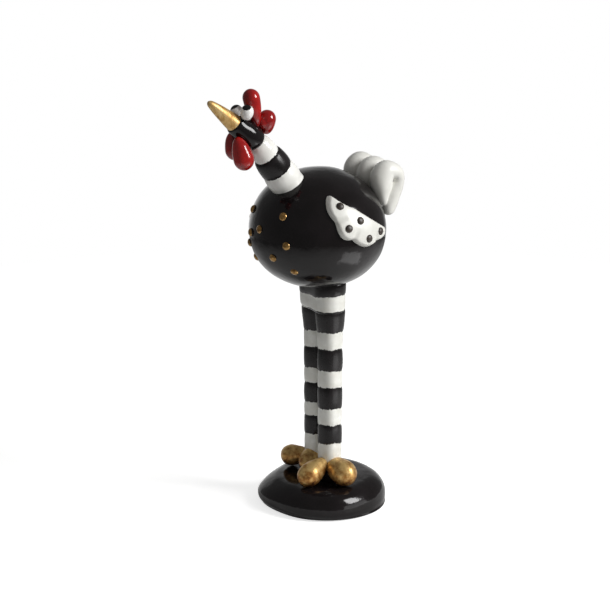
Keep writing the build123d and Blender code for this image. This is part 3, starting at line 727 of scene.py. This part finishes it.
# %% Model the wing studs
wing_studs = ((-8.3, 10.3), (1.3, 0.7), (-6.6, -2.5), (6.0, -9.6), (15.5, -6.6))
for side, name in ((1, "left"), (-1, "right")):
    bm = bmesh.new()
    for seed, (across, rise) in enumerate(wing_studs):
        place = on_wing(across, rise, WING_THICKNESS)
        dome(bm, place, outward(place), width=4.5, height=1.2, bare=-9.0, seed=50 + seed)
    bmesh.ops.scale(bm, vec=(side, 1, 1), verts=bm.verts)
    finish(bm, f"{name}_dark_wing_studs", [stud_glaze], f"{name}_wing_studs")

# %% [markdown]
# ## The looped tail
# Three fat rolls of white clay are folded over into loops. Each comes up from its foot, turns over into a
# broad head and tapers down in front to a tip, with a slanting crease between the two runs. A smooth curve
# through a few oval sections gives many rings along the fold, which are bridged into a tube. Where the runs
# touch, the tube passes through itself: a Remesh modifier melts it into one skin, and a Smooth modifier
# rounds the crease as wet fingers would.

# %% Model the tail feathers
TAIL_SPACING = 13.0
TAIL_FOOT = Vector((0, 28.34, 177.0))
# Each section: how far behind and above the foot, half its thickness, half its width.
feather_sections = (
    (7.0, -10.5, 1.6, 1.6), (7.1, -8.8, 3.3, 3.3), (7.8, -4.8, 4.6, 4.2), (9.3, 0.4, 5.0, 4.6),
    (11.4, 5.6, 4.7, 4.9), (12.3, 9.6, 4.1, 5.5), (10.8, 13.6, 4.7, 6.3), (5.6, 15.4, 5.7, 6.6),
    (2.4, 11.8, 7.0, 6.6), (2.0, 6.2, 5.9, 6.2), (2.1, 1.2, 3.9, 5.2), (3.0, -2.0, 2.6, 3.8),
    (3.9, -4.1, 1.3, 1.8),
)


def along_sections(sections, steps):
    """Rows between given rows, along a smooth curve that passes through each of them."""
    padded = [sections[0], *sections, sections[-1]]
    rows = []
    for number in range(len(sections) - 1):
        before, start, end, after = padded[number:number + 4]
        for step in range(steps):
            t = step / steps
            rows.append(tuple(
                b + t * (c - a) / 2 + t ** 2 * (2 * a - 5 * b + 4 * c - d) / 2
                + t ** 3 * (3 * b - a - 3 * c + d) / 2
                for a, b, c, d in zip(before, start, end, after)))
    return rows + [sections[-1]]


def melt(piece, grain, rubs):
    """Run a piece's overlapping lumps into one skin and rub it smooth."""
    melted = piece.modifiers.new("melted", "REMESH")
    melted.mode, melted.voxel_size, melted.use_smooth_shade = "VOXEL", grain * MM, True
    rubbed = piece.modifiers.new("rubbed", "SMOOTH")
    rubbed.factor, rubbed.iterations = 0.5, rubs


feather_rings = along_sections(feather_sections, 5)
for seed, (name, place) in enumerate((("left", 1), ("middle", 0), ("right", -1))):
    bm = bmesh.new()
    rings = []
    for number, (behind, rise, half_thick, half_wide) in enumerate(feather_rings):
        last = feather_rings[max(number - 1, 0)]
        following = feather_rings[min(number + 1, len(feather_rings) - 1)]
        run = Vector((0, following[0] - last[0], following[1] - last[1])).normalized()
        across = Vector((1, 0, 0))
        turn = Matrix((across, run.cross(across), run)).transposed().to_4x4()
        middle = TAIL_FOOT + Vector((place * TAIL_SPACING, behind, rise))
        shape = Matrix.Translation(middle) @ turn @ Matrix.Diagonal((half_wide, half_thick, 1, 1))
        ring = bmesh.ops.create_circle(bm, cap_ends=False, segments=32, radius=1.0, matrix=shape)["verts"]
        rings.append(list(dict.fromkeys(e for v in ring for e in v.link_edges)))
    for lower, higher in zip(rings, rings[1:]):
        bmesh.ops.bridge_loops(bm, edges=lower + higher)
    bmesh.ops.holes_fill(bm, edges=[e for e in bm.edges if e.is_boundary])
    press(bm, grain=7.0, depth=0.4, seed=70 + seed)
    feather = finish(bm, f"{name}_looped_feather", [ivory_glaze], f"{name}_tail_feather")
    melt(feather, grain=0.35, rubs=20)

# %% [markdown]
# ## The neck
# Three rings of clay are stacked and smoothed into a leaning neck: white, black, white. As on the legs, a
# spun line of points gives the swelling rings, the faces take their ring's colour, and the edges between
# the rings wander. Then the whole neck is leaned and set on the body.


# %% Model the neck
def slant(degrees):
    """Direction in the bird's middle plane, at an angle above straight ahead."""
    return Vector((0, -math.cos(math.radians(degrees)), math.sin(math.radians(degrees))))


NECK_LEAN, NECK_LENGTH = 53.0, 30.3
neck_foot = on_body(0, 57.5)
neck_axis = slant(NECK_LEAN)
ring_edges = (0.0, 9.7, 20.3, NECK_LENGTH)
ring_radii = ((9.25, 8.55), (8.75, 7.75), (7.1, 5.8))
ring_swells = ((0.03, -0.15), (0.1, 0.15), (0.3, 0.35), (0.5, 0.42), (0.7, 0.35), (0.9, 0.15), (0.97, -0.15))
points = [(0.0, -9.0), (9.6, -9.0), (9.4, -3.0)]
for (low, high), (foot, top) in zip(zip(ring_edges, ring_edges[1:]), ring_radii):
    for share, swell in ring_swells:
        points.append((foot + share * (top - foot) + swell, low + share * (high - low)))
points += [(5.4, 31.6), (0.0, 32.0)]
bm = turned(points, 80)
for face in bm.faces:
    middle = face.calc_center_median().z
    face.material_index = 1 if ring_edges[1] < middle < ring_edges[2] else 0
for vert in bm.verts:
    angle = math.atan2(vert.co.y, vert.co.x)
    near = min((1, 2), key=lambda n: abs(ring_edges[n] - vert.co.z))
    pull = max(0.0, 1 - abs(ring_edges[near] - vert.co.z) / 4.0)
    vert.co.z += pull * wander(angle, near + 60, 0.4)
press(bm, grain=8.0, depth=0.4, seed=8)
bmesh.ops.transform(bm, matrix=leaned(neck_axis, neck_foot), verts=bm.verts)
finish(bm, "ringed_neck", [white_glaze, black_band_glaze], "neck")

# %% [markdown]
# ## Head and beak
# The head is a short black barrel with a round back, and the beak a gold cone with a blunt tip set into its
# front. Both are spun lines of points. The beak's line swells a little, as a rolled cone of clay does, and
# the head's lip was smoothed out over the beak's root, so the head's line runs on past it.

# %% Model head and beak
HEAD_LENGTH, HEAD_OVERHANG = 18.3, 2.0  # the head's back hangs over the neck's top
neck_top = neck_foot + neck_axis * NECK_LENGTH
head_axis, head_up = slant(HEAD_LEAN), slant(HEAD_LEAN + 90)
head_back = neck_top - head_axis * HEAD_OVERHANG
head_front = head_back + head_axis * HEAD_LENGTH
head_line = ((0.0, 0.0), (1.8, 0.25), (3.5, 0.95), (4.95, 2.1), (5.95, 3.6), (6.45, 5.2), (6.65, 7.0),
             (6.65, 9.0), (6.5, 11.5), (6.15, 14.0), (5.75, 16.5), (5.35, 18.8), (5.1, 20.0), (4.8, 20.5),
             (4.2, 20.6), (0.0, 20.6))
beak_line = ((0.0, -1.5), (4.75, -1.5), (4.8, 0.0), (4.58, 3.0), (4.25, 6.2), (3.75, 10.0), (3.15, 14.0),
             (2.55, 17.5), (2.05, 20.0), (1.65, 21.4), (1.15, 22.3), (0.6, 22.8), (0.0, 22.95))
for name, points, place, solid, skin, slot, dents, seed in (
    ("black_head", head_line, head_back, "head", head_glaze, "black_glaze", 0.7, 81),
    ("gilded_beak", beak_line, head_front, "beak", beak_gold, "gold_lustre", 0.3, 82),
):
    bm = turned(points, 56)
    press(bm, grain=5.0, depth=dents, seed=seed)
    bmesh.ops.transform(bm, matrix=leaned(head_axis, place), verts=bm.verts)
    piece = finish(bm, name, [skin], solid)
    rounded = piece.modifiers.new("rounded", "SUBSURF")
    rounded.levels = rounded.render_levels = 1

# %% [markdown]
# ## Comb and wattles
# Two red drops stand on the crown: a tall one in front and a small one behind it. Two more hang below the
# beak, the left one longer. All four are eggs with their fine end pressed onto the head. A dab of the same
# clay joins the two on the crown, and is worked into the small one until no seam is left.

# %% Model comb and wattles
COMB_RISE = 17.0  # from the tall drop's foot to its widest ring
front_axis, rear_axis = slant(90 - 12.0), slant(90 + 4.0)
front_foot = neck_top + head_axis * 4.8 + head_up * 5.8
front_middle = front_foot + front_axis * COMB_RISE
rear_middle = neck_top + head_axis * 2.9 + head_up * 13.2
dab_middle = front_foot - head_axis * 0.9 + head_up * 4.6
red_drops = [
    ("tall_comb_drop", "front_comb_lobe", front_middle, front_axis, 9.8, 5.5, COMB_RISE),
    ("small_comb_drop", "rear_comb_lobe", rear_middle, rear_axis, 10.0, 5.2, 8.6),
]
for solid, side, drop, width, blunt, fine in (("left_wattle", 1, 12.9, 11.6, 6.4, 12.6),
                                              ("right_wattle", -1, 9.9, 10.4, 6.0, 10.8)):
    middle = neck_top + head_axis * 5.4 - head_up * drop + Vector((side * 6.5, 0, 0))
    hang = Vector((side * math.sin(math.radians(8.0)), 0, 0)) + slant(-90 - 14.0)
    red_drops.append(("red_" + solid, solid, middle, hang, width, blunt, fine))
for seed, (name, solid, middle, axis, width, blunt, fine) in enumerate(red_drops):
    bm = bmesh.new()
    egg(bm, middle, axis, width, blunt, fine, taper=0.1, grain=5.0, dents=0.3, seed=90 + seed)
    if solid == "rear_comb_lobe":
        egg(bm, dab_middle, slant(150), 8.0, 5.0, 4.0, dents=0.2, seed=98)
    drop = finish(bm, name, [red_glaze], solid)
    if solid == "rear_comb_lobe":
        melt(drop, grain=0.3, rubs=14)

# %% [markdown]
# ## The eyes
# The bird looks up: two white eggs stand side by side on the front of the head, with a black pupil painted
# over the top of each, a little to the front. Each egg's foot, where it meets the head, is black too. Faces
# that lie far enough along the direction of sight, or far enough down, take the black glaze. The left eye
# sits higher than the right, and its pupil is smaller, which gives the bird its puzzled look.

# %% Model the eyes
EYE_SPREAD, EYE_SPLAY = math.radians(34.0), math.radians(15.0)
EYE_WIDTH, EYE_TOP, EYE_FOOT = 7.2, 3.9, 5.2  # the ends lie above and below the egg's widest ring
RIM_DROP = 4.0  # how far below that ring the black rim begins
HEAD_SIDE = 5.3  # radius of the head where the eyes stand
for side, name in ((1, "left"), (-1, "right")):
    out = head_up * math.cos(EYE_SPREAD) + Vector((side * math.sin(EYE_SPREAD), 0, 0))
    middle = head_front + head_axis * 2.0 + out * (HEAD_SIDE + EYE_TOP)
    axis = Vector((side * math.sin(EYE_SPLAY), 0, math.cos(EYE_SPLAY)))
    bm = bmesh.new()
    middle += Vector((side * 0.3, -0.3, 1.0 if side > 0 else -0.9))
    egg(bm, middle, axis, EYE_WIDTH, EYE_TOP, EYE_FOOT, grain=4.0, dents=0.12, seed=100 + side)
    sight = (axis + Vector((side * 0.12, -0.32, 0))).normalized()
    pupil = 0.76 if side > 0 else 0.62
    for face in bm.faces:
        arm = face.calc_center_median() - middle
        face.material_index = 1 if arm.normalized().dot(sight) > pupil or arm.dot(axis) < -RIM_DROP else 0
    finish(bm, f"{name}_painted_eye", [eye_white_glaze, black_glaze], f"{name}_eye")

# %% [markdown]
# ## The paper floor
# The bird stands on white paper before a white backdrop. The paper's own colour fades to dark from 0.2 m
# out to its rim, a painted pool of light round the bird. What looks at the paper, the camera or a mirror,
# sees a white that is added to its own shading. For the camera it grows towards the rim while the shading
# fades, so that the paper meets the backdrop without an edge, yet still takes the bird's shadow. A mirror
# sees it as a painted glow: darker close to the base, a painted shadow of the bird, brighter further out,
# and dim again at the rim.

# %% Build the floor
PAPER_RADIUS = 0.55
paper = new_material("matt_white_paper")
tree = paper.node_tree
place = add_node(tree, "ShaderNodeTexCoord").outputs["Object"]
fibre = add_node(tree, "ShaderNodeTexNoise", {"Vector": place, "Scale": 1 / (1.5 * MM), "Detail": 3.0})
tone = add_node(tree, "ShaderNodeValToRGB", {"Fac": fibre.outputs["Fac"]})
tone.color_ramp.elements[0].color = linear("#dededd")
tone.color_ramp.elements[1].color = linear("#e4e4e3")
# painted pool of light: the paper's own colour fades to dark from 0.2 m out to its rim
away = add_node(tree, "ShaderNodeVectorMath", {0: place}, operation="LENGTH")
near = add_node(tree, "ShaderNodeMapRange",
                {"Value": away.outputs["Value"], "From Min": 0.2, "From Max": PAPER_RADIUS, "To Min": 1.0,
                 "To Max": 0.1})
white = add_node(tree, "ShaderNodeVectorMath", {0: tone.outputs["Color"], "Scale": near.outputs["Result"]},
                 operation="SCALE")
matt = add_node(tree, "ShaderNodeBsdfDiffuse", {"Color": white.outputs["Vector"]})
ray = add_node(tree, "ShaderNodeLightPath")
shown = add_node(tree, "ShaderNodeMapRange", {"Value": near.outputs["Result"], "To Min": 1.0, "To Max": 0.7})
# painted shadow: mirrors see the paper's glow darker close to the base
painted_base_shadow = add_node(tree, "ShaderNodeMapRange",
                  {"Value": away.outputs["Value"], "From Min": 0.04, "From Max": 0.13, "To Min": 0.1,
                   "To Max": 0.35})
mirrored = add_node(tree, "ShaderNodeMath", {0: near.outputs["Result"], 1: painted_base_shadow.outputs["Result"]},
                    operation="MULTIPLY")
level = add_node(tree, "ShaderNodeMix", {0: ray.outputs["Is Camera Ray"], 2: mirrored.outputs["Value"],
                                         3: shown.outputs["Result"]})
glow = add_node(tree, "ShaderNodeEmission", {"Color": (1, 1, 1, 1), "Strength": level.outputs["Result"]})
both = add_node(tree, "ShaderNodeAddShader", {0: matt.outputs["BSDF"], 1: glow.outputs["Emission"]})
clear = add_node(tree, "ShaderNodeMath",
                 {0: ray.outputs["Is Glossy Ray"], 1: ray.outputs["Is Transmission Ray"]},
                 operation="MAXIMUM")
looking = add_node(tree, "ShaderNodeMath", {0: ray.outputs["Is Camera Ray"], 1: clear.outputs["Value"]},
                   operation="MAXIMUM")
seen = add_node(tree, "ShaderNodeMixShader", {0: looking.outputs["Value"], 1: matt.outputs["BSDF"],
                                              2: both.outputs["Shader"]})
add_node(tree, "ShaderNodeOutputMaterial", {"Surface": seen.outputs["Shader"]})

bm = bmesh.new()
bmesh.ops.create_circle(bm, cap_ends=True, segments=96, radius=PAPER_RADIUS)
bmesh.ops.translate(bm, vec=(0, 0, -0.1 * MM), verts=bm.verts)
floor = put(bm, "paper_floor", [paper])
print("paper is", 2 * PAPER_RADIUS, "m across")

# %% [markdown]
# ## The white room
# Weak light from all sides fills the shadows, and the camera sees the room as plain white. A mirror sees
# the bright backdrop only about where the camera looks; the rest of the room stays dim.

# %% Build the room
BACKDROP_WAY = (-0.88, 0.42, -0.19)
world = bpy.data.worlds.new("white_room")
bpy.context.scene.world = world
world.use_nodes = True
tree = world.node_tree
tree.nodes.clear()
ray = add_node(tree, "ShaderNodeLightPath")
way = add_node(tree, "ShaderNodeTexCoord").outputs["Generated"]
behind = add_node(tree, "ShaderNodeVectorMath", {0: way, 1: BACKDROP_WAY}, operation="DOT_PRODUCT")
backdrop = add_node(tree, "ShaderNodeMapRange",
                    {"Value": behind.outputs["Value"], "From Min": 0.75, "From Max": 1.0, "To Min": 0.2,
                     "To Max": 1.0})
clear = add_node(tree, "ShaderNodeMath",
                 {0: ray.outputs["Is Camera Ray"], 1: ray.outputs["Is Transmission Ray"]},
                 operation="MAXIMUM")
room = add_node(tree, "ShaderNodeBackground", {"Color": linear("#f6f6f6"), "Strength": 0.28})
mirrored = add_node(tree, "ShaderNodeBackground",
                    {"Color": (1, 1, 1, 1), "Strength": backdrop.outputs["Result"]})
white = add_node(tree, "ShaderNodeBackground", {"Color": (1, 1, 1, 1), "Strength": 1.0})
indirect = add_node(tree, "ShaderNodeMixShader",
                    {0: ray.outputs["Is Glossy Ray"], 1: room.outputs["Background"],
                     2: mirrored.outputs["Background"]})
shown = add_node(tree, "ShaderNodeMixShader", {0: clear.outputs["Value"], 1: indirect.outputs["Shader"],
                                               2: white.outputs["Background"]})
add_node(tree, "ShaderNodeOutputWorld", {"Surface": shown.outputs["Shader"]})
print("room lights the shadows with strength", round(room.inputs["Strength"].default_value, 2))

# %% [markdown]
# ## Lamps
# A window-like lamp at the bird's left rear, the right of the picture, gives the main light and the square
# glints. The patch of window light on the paper is a second, very weak lamp just above the floor: it shows
# in the gloss only and lights no matt surface.

# %% Place the lamps
aim = Vector((0, -0.01, 0.13))
for name, turn, rise, distance, width, height, watts in (
    ("window_lamp", 128, 28, 1.1, 0.40, 0.50, 13.0),
    ("paper_glint", 121, -40, 0.2, 0.13, 0.14, 0.11),
):
    lamp = bpy.data.lights.new(name, "AREA")
    lamp.shape, lamp.size, lamp.size_y, lamp.energy = "RECTANGLE", width, height, watts
    turn, rise = math.radians(turn), math.radians(rise)
    away = Vector((math.sin(turn) * math.cos(rise), -math.cos(turn) * math.cos(rise), math.sin(rise)))
    stand = bpy.data.objects.new(name, lamp)
    stand.location = aim + away * distance
    stand.rotation_euler = (-away).to_track_quat("-Z", "Y").to_euler()
    stand.visible_diffuse = rise > 0
    bpy.context.scene.collection.objects.link(stand)
    print(name, "stands at", [round(c, 2) for c in stand.location], "m")

# %% [markdown]
# ## Camera
# The picture was taken from the bird's front left, a little above it, with a long lens. The camera stands
# at the place that makes the solids' outlines fall on the picture's. The standard view keeps the finishes'
# own tones.

# %% Place the camera
FOCAL_PIXELS, PICTURE_PIXELS, SENSOR = 2159, 610, 36
bpy.context.scene.view_settings.view_transform = "Standard"
camera = bpy.data.cameras.new("long_lens")
camera.lens = FOCAL_PIXELS / PICTURE_PIXELS * SENSOR
camera.sensor_width = SENSOR
viewer = bpy.data.objects.new("viewer", camera)
viewer.location = (0.9695, -0.6296, 0.467)
viewer.rotation_euler = (math.radians(90 - 16.8638), 0, math.radians(57.4704))
bpy.context.scene.collection.objects.link(viewer)
bpy.context.scene.camera = viewer
print("lens in mm:", round(camera.lens, 1))
